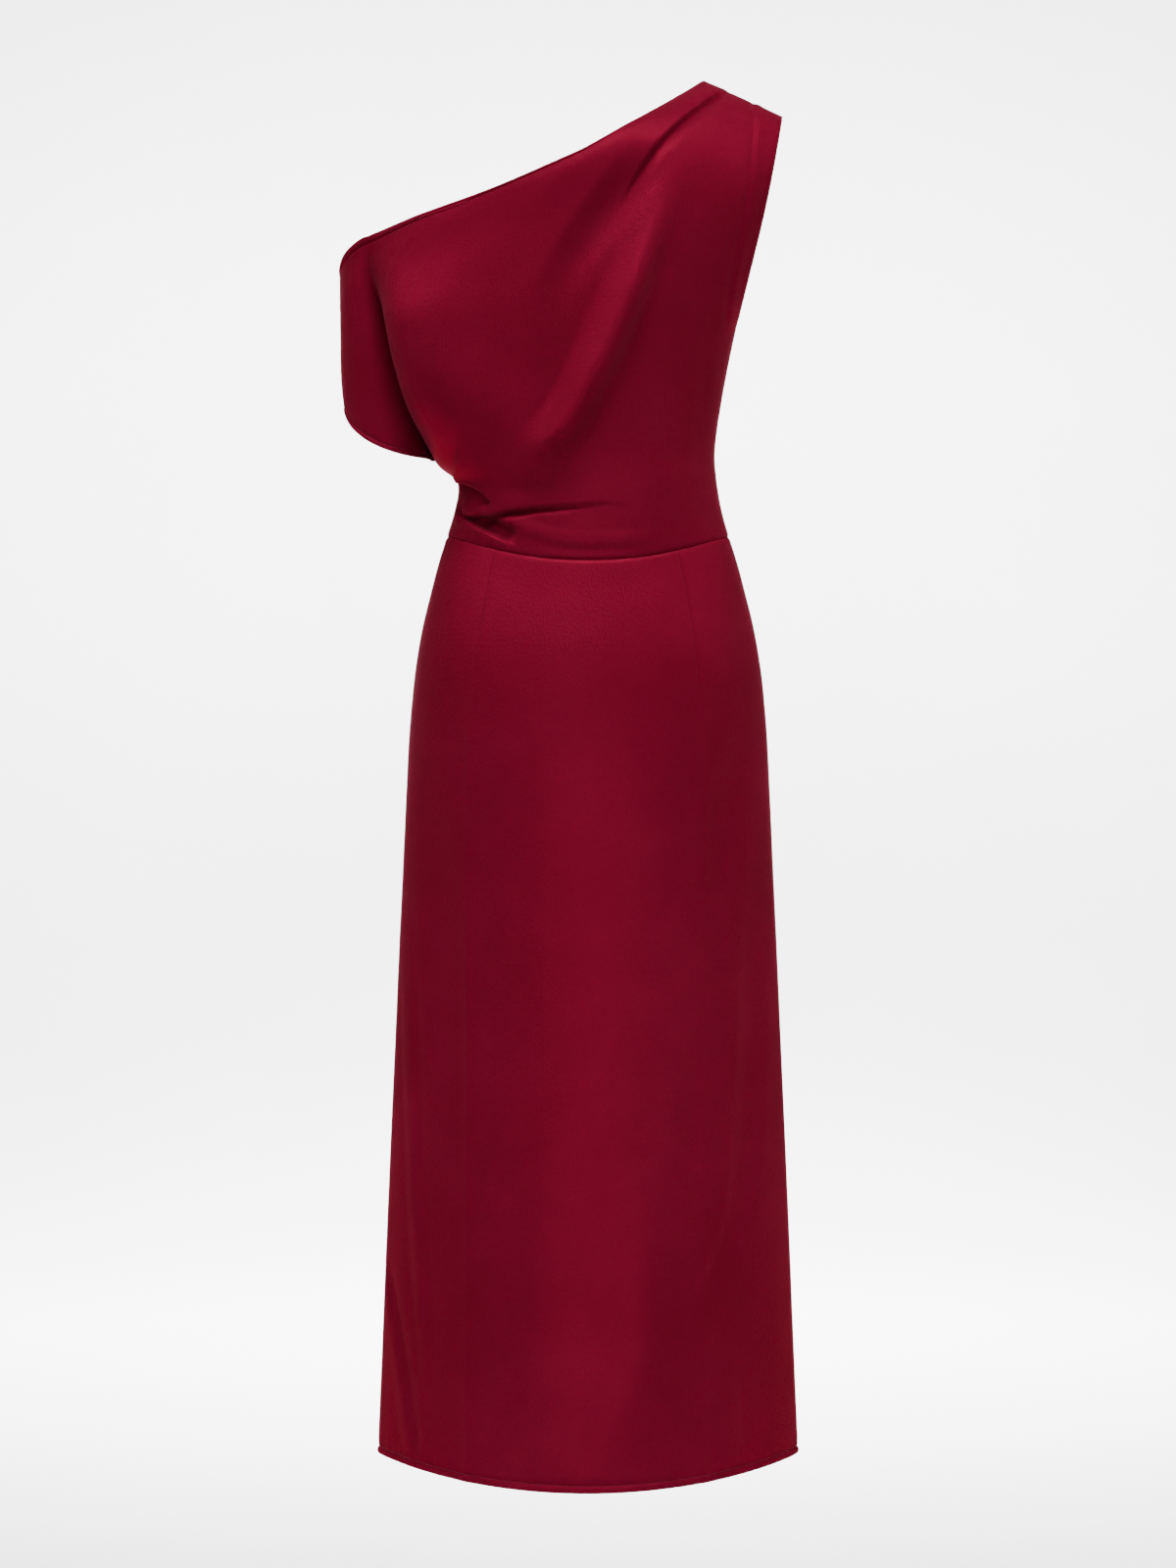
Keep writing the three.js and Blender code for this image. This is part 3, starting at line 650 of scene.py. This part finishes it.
def bodice_normals(points, turn, underarm):
    """Normals of the bodice. Below the underarm, its grid has no sleeve columns."""
    normals = grid_normals(points, turn)
    torso = grid_normals(points[:, SLEEVE_COLUMN_COUNT:], turn)
    normals[:underarm + 1, SLEEVE_COLUMN_COUNT:] = torso[:underarm + 1]
    return normals


def bodice(side, folds, material):
    points, rows = bodice_grid(side)
    turn = side["turn"]
    sleeve_columns = SLEEVE_COLUMN_COUNT
    underarm = int(np.argmax(rows >= UNDERARM))
    corner = sleeve_columns + NECK_COLUMN_COUNT - 1
    column = np.arange(points.shape[1])
    top = points[::-1].copy()
    top[:, :corner + 1] = respace(top[:, :corner + 1], NECK_STEPS, 12)
    points = top[::-1].copy()
    sleeve_part = points[underarm:, :sleeve_columns]
    points[underarm:, :sleeve_columns] = respace(sleeve_part, SLEEVE_STEPS, 14)

    normals = bodice_normals(points, turn, underarm)

    across, up = surface_lengths(points)
    from_waist = arc_lengths(points)
    from_top = arc_lengths(points[::-1])[::-1]
    from_right = arc_lengths(points[:, ::-1].swapaxes(0, 1)).swapaxes(0, 1)[:, ::-1]
    from_left = arc_lengths(points[:, sleeve_columns:].swapaxes(0, 1)).swapaxes(0, 1)
    left_gap = np.full(points.shape[:2], FAR)
    left_gap[:underarm + 1, sleeve_columns:] = from_left[:underarm + 1]
    over_arm = arc_lengths(points.swapaxes(0, 1)).swapaxes(0, 1)

    calm = smooth_step(0, 5, from_waist) * smooth_step(0, 3, from_right)
    calm = calm * smooth_step(4, 28, left_gap)
    calm[:, :sleeve_columns] = 0
    calm = calm * np.where(column > corner, smooth_step(0, 9, from_top), 1)
    points = folded(points, normals, folds, calm)

    x = points[..., 0]
    beside_neck = smooth_step(-200, -140, x) * (1 - smooth_step(20, 90, x))
    upright = UPRIGHT_NECK * np.exp(-((from_top / UPRIGHT_REACH) ** 2)) * beside_neck
    points[..., 1] -= turn * upright

    slant = across * 0.8 - up * 0.6
    drape = 0.5 * soft_noise(slant, up * 0.4, 48, 11) + 0.12 * soft_noise(across, up, 16, 12)
    points = points + normals * (drape * smooth_step(0, 12, from_right))[..., None]

    armhole_free = (rows > ARMHOLE_FOOT + 0.05)[:, None]
    on_sleeve = (rows >= UNDERARM)[:, None] & (column < sleeve_columns)[None]
    past_corner = column[None] >= corner
    from_side = np.minimum(np.where(armhole_free, FAR, from_right), left_gap)
    from_side = np.minimum(from_side, np.where(on_sleeve, over_arm, FAR))
    from_seam = np.minimum(from_waist, np.where(past_corner, from_top, FAR))
    groove = SEAM_DEPTH * np.exp(-((from_seam / SEAM_WIDTH) ** 2))
    groove = np.maximum(groove, SIDE_SEAM_DEPTH * np.exp(-((from_side / SEAM_WIDTH) ** 2)))
    points = points - normals * groove[..., None]

    from_neck = np.where(past_corner, FAR, from_top)
    from_cuff = np.where(on_sleeve, from_waist - from_waist[underarm], FAR)
    turned = hem_relief(from_neck, NECK_HEM) + hem_relief(from_cuff, SLEEVE_HEM)
    points = points + normals * turned[..., None]
    normals = bodice_normals(points, turn, underarm)

    cells = np.ones((points.shape[0] - 1, points.shape[1] - 1), bool)
    cells[:underarm, :sleeve_columns] = False
    name = side["name"]
    panel = cloth_panel(f"bodice_cloth_{name}", points, normals, cells, turn, material)
    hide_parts(f"bodice_{name}")

    both = np.stack([points, normals])
    at_neck = both[:, ::-1, :corner + 1]
    neck = turned_hem(f"neck_hem_cloth_{name}", *at_neck, len(NECK_STEPS), -turn, material)
    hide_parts(f"neck_hem_{name}")
    at_cuff = both[:, underarm:, :sleeve_columns]
    cuff = turned_hem(
        f"sleeve_hem_cloth_{name}", *at_cuff[:, :, :-1], len(SLEEVE_STEPS), turn, material)
    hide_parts(f"sleeve_hem_{name}")

    foot = int(np.argmax(armhole_free))
    at_armhole = both[:, foot:, ::-1].swapaxes(1, 2)
    inward = arc_lengths(at_armhole[0]).mean(axis=1)
    count = int(np.argmax(inward > ARMHOLE_FACING))
    facing = turned_hem(f"armhole_facing_cloth_{name}", *at_armhole, count, turn, material)
    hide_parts(f"armhole_facing_{name}")
    stitched = {
        "neck": at_neck[:, len(NECK_STEPS) - 2],
        "sleeve": at_cuff[:, len(SLEEVE_STEPS) - 2],
    }
    return panel, [neck, cuff, facing], stitched


def skirt_columns():
    """Even columns round the skirt, with closer ones beside each dart."""
    even = np.linspace(-1, 1, 121)
    fine = []
    for dart in DARTS:
        fine.extend(dart["across"] + DART_COLUMNS)
    keep = [a for a in even if min(abs(a - dart["across"]) for dart in DARTS) > DART_CLEARANCE]
    return np.array(sorted(keep + fine))


def skirt(side, folds, material):
    turn = side["turn"]
    last = len(SKIRT_SECTIONS) - 1
    rows = np.concatenate([np.linspace(0, 3, 50, endpoint=False), np.linspace(3, last, 190)])
    rows = rows[::-1][:, None]
    columns = skirt_columns()[None]
    fall = -table_at(SKIRT_SECTIONS, SKIRT_COLUMNS, "z", rows)
    across = columns + np.zeros_like(rows)
    for dart in DARTS:
        pull = np.exp(-(((columns - dart["across"]) / 0.25) ** 2))
        across = across + dart["shift"] * pull * smooth_step(0, dart["length"] * 2, fall)
    points = skirt_points(side, across, rows)
    points = respace(points, SKIRT_STEPS, 12)

    normals = grid_normals(points, turn)
    u, v = surface_lengths(points)
    from_hem = arc_lengths(points)
    from_waist = arc_lengths(points[::-1])[::-1]
    from_left = arc_lengths(points.swapaxes(0, 1)).swapaxes(0, 1)
    from_right = arc_lengths(points[:, ::-1].swapaxes(0, 1)).swapaxes(0, 1)[:, ::-1]
    from_side = np.minimum(from_left, from_right)
    calm = smooth_step(0, 25, from_waist) * smooth_step(0, 8, from_side)
    points = folded(points, normals, folds, calm)

    drape = 0.6 * soft_noise(u, v * 0.3, 52, 21) + 0.14 * soft_noise(u, v * 0.5, 20, 22)
    points = points + normals * (drape * smooth_step(0, 14, from_side))[..., None]

    for dart in DARTS:
        j = int(np.argmin(np.abs(columns[0] - dart["across"])))
        away = u - u[:, j][:, None]
        share = np.clip(from_waist / dart["length"], 0, 1)
        strength = 1 - smooth_step(0.55, 1, share)
        groove = -0.9 * np.exp(-((away / 0.6) ** 2))
        swell = 0.2 * np.exp(-(((np.abs(away) - 4) / 4) ** 2))
        wave = np.sin(from_waist * 2 * math.pi / 7 + np.sign(away))
        pucker = 0.07 * wave * np.exp(-((away / 6) ** 2))
        end = 1.0 * np.exp(-((away / 8) ** 2)) * np.exp(-(((share - 1) / 0.1) ** 2))
        points = points + normals * ((groove + swell + pucker) * strength + end)[..., None]

    seam = SEAM_DEPTH * np.exp(-((from_waist / SEAM_WIDTH) ** 2))
    seam = np.maximum(seam, SIDE_SEAM_DEPTH * np.exp(-((from_side / SEAM_WIDTH) ** 2)))
    turned = hem_relief(from_hem, SKIRT_HEM)
    pucker = 0.3 * np.sin(u * 2 * math.pi / 11 + 2 * soft_noise(u, v, 30, 25))
    pucker = pucker * np.exp(-(((from_hem - SKIRT_HEM) / 7) ** 2))
    points = points + normals * (turned - seam - pucker * 0.6)[..., None]

    normals = grid_normals(points, turn)
    cells = np.ones((points.shape[0] - 1, points.shape[1] - 1), bool)
    name = side["name"]
    panel = cloth_panel(f"skirt_cloth_{name}", points, normals, cells, turn, material)
    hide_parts(f"skirt_{name}")
    both = np.stack([points, normals])
    hem = turned_hem(
        f"skirt_hem_cloth_{name}", *both[:, :, 1:-1], len(SKIRT_STEPS) - 1, turn, material)
    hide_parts(f"skirt_hem_{name}")
    return panel, [hem], {"hem": both[:, len(SKIRT_STEPS) - 2]}


def stitches(name, line, normals, material):
    """A row of small raised stitches along a line on the cloth."""
    lengths = arc_lengths(line)
    places = np.arange(STITCH_PITCH / 2, lengths[-1] - STITCH_PITCH / 2, STITCH_PITCH)

    def at(values, places):
        return np.stack([np.interp(places, lengths, values[:, k]) for k in range(3)], axis=-1)

    centres = at(line, places)
    along = at(line, places + 0.4) - at(line, places - 0.4)
    along /= np.linalg.norm(along, axis=1, keepdims=True)
    out = at(normals, places)
    out /= np.linalg.norm(out, axis=1, keepdims=True)
    beside = np.cross(along, out)
    vertices, faces = [], []
    for centre, a, n, b in zip(centres, along, out, beside):
        first = len(vertices)
        for reach, thick, lift in STITCH_RINGS:
            middle = centre + a * (reach * STITCH_LENGTH / 2) + n * (STITCH_HEIGHT * (0.25 + 0.5 * lift))
            for sideways, up in STITCH_SECTION:
                shift_b = sideways * STITCH_WIDTH / 2 * thick
                shift_n = up * STITCH_HEIGHT / 2 * thick
                vertices.append(middle + b * shift_b + n * shift_n)
        corners = len(STITCH_SECTION)
        for k in range(len(STITCH_RINGS) - 1):
            for m in range(corners):
                p, q = first + corners * k + m, first + corners * k + (m + 1) % corners
                faces.append([p, q, q + corners, p + corners])
        last = first + corners * (len(STITCH_RINGS) - 1)
        faces.append([first + m for m in reversed(range(corners))])
        faces.append([last + m for m in range(corners)])
    return mesh_object(name, to_frame(np.array(vertices)), faces, material)


def link(tree, start, end):
    tree.links.new(start, end)


def new_node(tree, kind, **values):
    node = tree.nodes.new(kind)
    for name, value in values.items():
        if hasattr(node, name):
            setattr(node, name, value)
        else:
            node.inputs[name].default_value = value
    return node


def colour_ramp(tree, factor, stops):
    ramp = tree.nodes.new("ShaderNodeValToRGB")
    while len(ramp.color_ramp.elements) < len(stops):
        ramp.color_ramp.elements.new(0.5)
    for element, (place, colour) in zip(ramp.color_ramp.elements, stops):
        element.position = place
        element.color = (*colour, 1)
    link(tree, factor, ramp.inputs["Fac"])
    return ramp.outputs["Color"]


def satin(name, deep, mid, light):
    """Satin-backed crepe: a fine slubbed grain, uneven dye and a broad soft sheen."""
    material = bpy.data.materials.new(name)
    material.use_nodes = True
    tree = material.node_tree
    shader = tree.nodes["Principled BSDF"]
    place = new_node(tree, "ShaderNodeTexCoord").outputs["Object"]
    weave_map = tree.nodes.new("ShaderNodeUVMap")
    weave_map.uv_map = "weave"

    cloud = new_node(tree, "ShaderNodeTexNoise", Scale=9.0, Detail=3.0, Roughness=0.5)
    link(tree, place, cloud.inputs["Vector"])
    fine = new_node(tree, "ShaderNodeTexNoise", Scale=1.0, Detail=2.0, Roughness=0.6)
    stretch = new_node(tree, "ShaderNodeMapping")
    stretch.inputs["Scale"].default_value = (620, 300, 1)
    link(tree, weave_map.outputs["UV"], stretch.inputs["Vector"])
    link(tree, stretch.outputs["Vector"], fine.inputs["Vector"])

    blend = new_node(tree, "ShaderNodeMath", operation="MULTIPLY_ADD")
    link(tree, fine.outputs["Fac"], blend.inputs[0])
    blend.inputs[1].default_value = 0.5
    link(tree, cloud.outputs["Fac"], blend.inputs[2])
    link(tree, colour_ramp(tree, blend.outputs[0], [(0.45, deep), (0.75, mid), (1.0, light)]),
         shader.inputs["Base Color"])

    rough = new_node(tree, "ShaderNodeMapRange")
    link(tree, fine.outputs["Fac"], rough.inputs["Value"])
    rough.inputs["To Min"].default_value = 0.24
    rough.inputs["To Max"].default_value = 0.46
    link(tree, rough.outputs["Result"], shader.inputs["Roughness"])

    threads = new_node(tree, "ShaderNodeTexNoise", Scale=1.0, Detail=1.0)
    spread = new_node(tree, "ShaderNodeMapping")
    spread.inputs["Scale"].default_value = (2600, 1100, 1)
    link(tree, weave_map.outputs["UV"], spread.inputs["Vector"])
    link(tree, spread.outputs["Vector"], threads.inputs["Vector"])
    grain = new_node(tree, "ShaderNodeBump", Strength=0.35, Distance=0.0003)
    link(tree, threads.outputs["Fac"], grain.inputs["Height"])
    slub = new_node(tree, "ShaderNodeBump", Strength=0.8, Distance=0.0006)
    link(tree, fine.outputs["Fac"], slub.inputs["Height"])
    link(tree, grain.outputs["Normal"], slub.inputs["Normal"])
    link(tree, slub.outputs["Normal"], shader.inputs["Normal"])

    shader.inputs["Metallic"].default_value = 0.22
    shader.inputs["Specular IOR Level"].default_value = 0.0
    shader.inputs["Specular Tint"].default_value = (0.3, 0.12, 0.16, 1)
    shader.inputs["Sheen Weight"].default_value = 0.06
    shader.inputs["Sheen Roughness"].default_value = 0.4
    shader.inputs["Sheen Tint"].default_value = (1.0, 0.3, 0.4, 1)
    return material


def thread(name, colour):
    material = bpy.data.materials.new(name)
    material.use_nodes = True
    tree = material.node_tree
    shader = tree.nodes["Principled BSDF"]
    place = new_node(tree, "ShaderNodeTexCoord").outputs["Object"]
    twist = new_node(tree, "ShaderNodeTexNoise", Scale=1800.0, Detail=2.0)
    link(tree, place, twist.inputs["Vector"])
    darker = tuple(0.7 * c for c in colour)
    link(tree, colour_ramp(tree, twist.outputs["Fac"], [(0.3, darker), (0.7, colour)]),
         shader.inputs["Base Color"])
    shader.inputs["Roughness"].default_value = 0.5
    shader.inputs["Sheen Weight"].default_value = 0.2
    return material


SATIN = satin("burgundy_satin", **SATIN_COLOURS)
THREAD = thread("burgundy_thread", THREAD_COLOUR)

FOLDS = {
    "back": (BACK_BODICE_FOLDS, BACK_SKIRT_FOLDS),
    "front": (FRONT_BODICE_FOLDS, FRONT_SKIRT_FOLDS),
}
for side_name, side in SIDES.items():
    bodice_folds, skirt_folds = FOLDS[side_name]
    bodice_panel, bodice_trim, bodice_stitched = bodice(side, bodice_folds, SATIN)
    skirt_panel, skirt_trim, skirt_stitched = skirt(side, skirt_folds, SATIN)
    for edge, (line, normals) in bodice_stitched.items():
        bodice_trim.append(stitches(f"{edge}_stitches_{side_name}", line, normals, THREAD))
    for edge, (line, normals) in skirt_stitched.items():
        skirt_trim.append(stitches(f"{edge}_stitches_{side_name}", line, normals, THREAD))
    for piece in [bodice_panel, skirt_panel] + bodice_trim + skirt_trim:
        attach(piece, "root")
    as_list(bodice_trim)
    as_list(skirt_trim)


def backdrop():
    """A pale floor that curves up into a wall."""
    material = bpy.data.materials.new("pale_paper")
    material.use_nodes = True
    tree = material.node_tree
    shader = tree.nodes["Principled BSDF"]
    place = new_node(tree, "ShaderNodeTexCoord").outputs["Object"]
    paper = new_node(tree, "ShaderNodeTexNoise", Scale=3.0, Detail=2.0)
    link(tree, place, paper.inputs["Vector"])
    stops = [(0.3, (0.80, 0.80, 0.80)), (0.7, (0.82, 0.82, 0.82))]
    link(tree, colour_ramp(tree, paper.outputs["Fac"], stops), shader.inputs["Base Color"])
    shader.inputs["Roughness"].default_value = 0.9

    bend_start = WALL_Y - BEND
    profile = [(FLOOR_FRONT, FLOOR_Z), (bend_start, FLOOR_Z)]
    for k in range(1, BEND_STEPS + 1):
        angle = k / BEND_STEPS * math.pi / 2
        profile.append((bend_start + BEND * math.sin(angle), FLOOR_Z + BEND * (1 - math.cos(angle))))
    profile.append((WALL_Y, WALL_TOP))
    vertices, faces = [], []
    for k, (y, z) in enumerate(profile):
        vertices += [(-FLOOR_HALF_WIDTH, y, z), (FLOOR_HALF_WIDTH, y, z)]
        if k:
            faces.append([2 * k - 2, 2 * k - 1, 2 * k + 1, 2 * k])
    floor = mesh_object("studio_floor", np.array(vertices), faces, material)


def area_light(name, place, target, size, power, spread):
    data = bpy.data.lights.new(name, "AREA")
    data.shape = "RECTANGLE"
    data.size, data.size_y = size
    data.energy = power
    data.spread = math.radians(spread)
    light = bpy.data.objects.new(name, data)
    light.visible_camera = False
    light.location = place
    aim = Vector(target) - Vector(place)
    light.rotation_euler = aim.to_track_quat("-Z", "Y").to_euler()
    bpy.context.scene.collection.objects.link(light)


def studio():
    for light in LIGHTS:
        area_light(**light)
    world = bpy.data.worlds.new("studio")
    world.use_nodes = True
    background = world.node_tree.nodes["Background"]
    background.inputs["Color"].default_value = (1, 1, 1, 1)
    background.inputs["Strength"].default_value = WORLD_STRENGTH
    bpy.context.scene.world = world


def camera():
    data = bpy.data.cameras.new("camera")
    data.sensor_width = SENSOR_HEIGHT
    data.lens = SENSOR_HEIGHT * CAMERA_DISTANCE / FRAME_HEIGHT
    data.clip_end = 50
    view = bpy.data.objects.new("camera", data)
    view.location = (CAMERA_X, -CAMERA_DISTANCE, CAMERA_Z)
    view.rotation_euler = (math.pi / 2, 0, 0)
    bpy.context.scene.collection.objects.link(view)
    bpy.context.scene.camera = view


backdrop()
studio()
camera()
